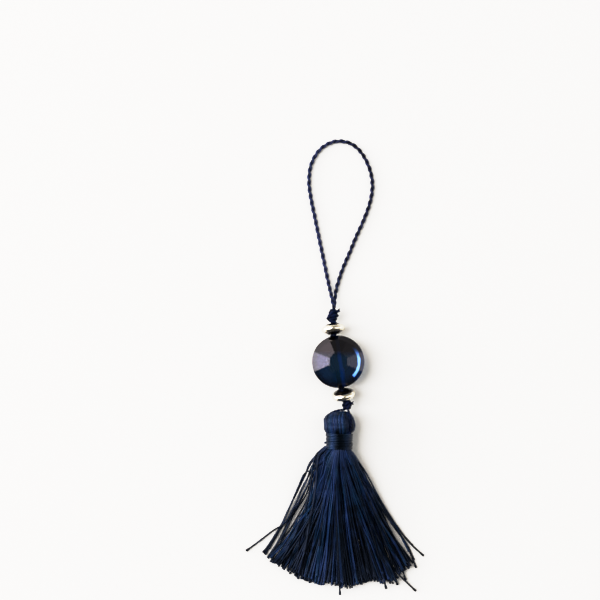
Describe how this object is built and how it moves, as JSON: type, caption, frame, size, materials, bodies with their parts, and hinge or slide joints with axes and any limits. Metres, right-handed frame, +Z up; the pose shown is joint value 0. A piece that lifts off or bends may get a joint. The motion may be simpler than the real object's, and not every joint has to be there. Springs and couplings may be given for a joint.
{
  "type": "tassel",
  "caption": "Yarn tassel with a wound neck and a fanned skirt, below a faceted coin bead between metal spacers, on a twisted cord that ends in a hanging loop; it lies flat.",
  "frame": {"origin": "on the surface it lies on, at the middle of the bead's lower flat facet", "axes": "+Z up from the surface, +Y from the skirt towards the hanging loop, +X to the right when it is seen from above with the loop away from the viewer"},
  "size_m": [0.0549, 0.1409, 0.0082],
  "materials": {
    "cord": "matt twisted cord, dark navy",
    "yarn": "silky yarn, navy",
    "binding_thread": "shiny wound thread, dark navy",
    "bead_glass": "polished dark navy glass with a lilac-grey coat",
    "spacer_metal": "polished pale silver"
  },
  "bodies": {
    "root": {"hanging_loop": "cord", "upper_knot": "cord", "core_cord": "cord", "upper_spacer": "spacer_metal", "bead": "bead_glass", "lower_spacer": "spacer_metal", "lower_knot": "cord", "tie_left": "cord", "tie_right": "cord", "tassel_yarn": "yarn", "binding": "binding_thread"}
  },
  "joints": []
}
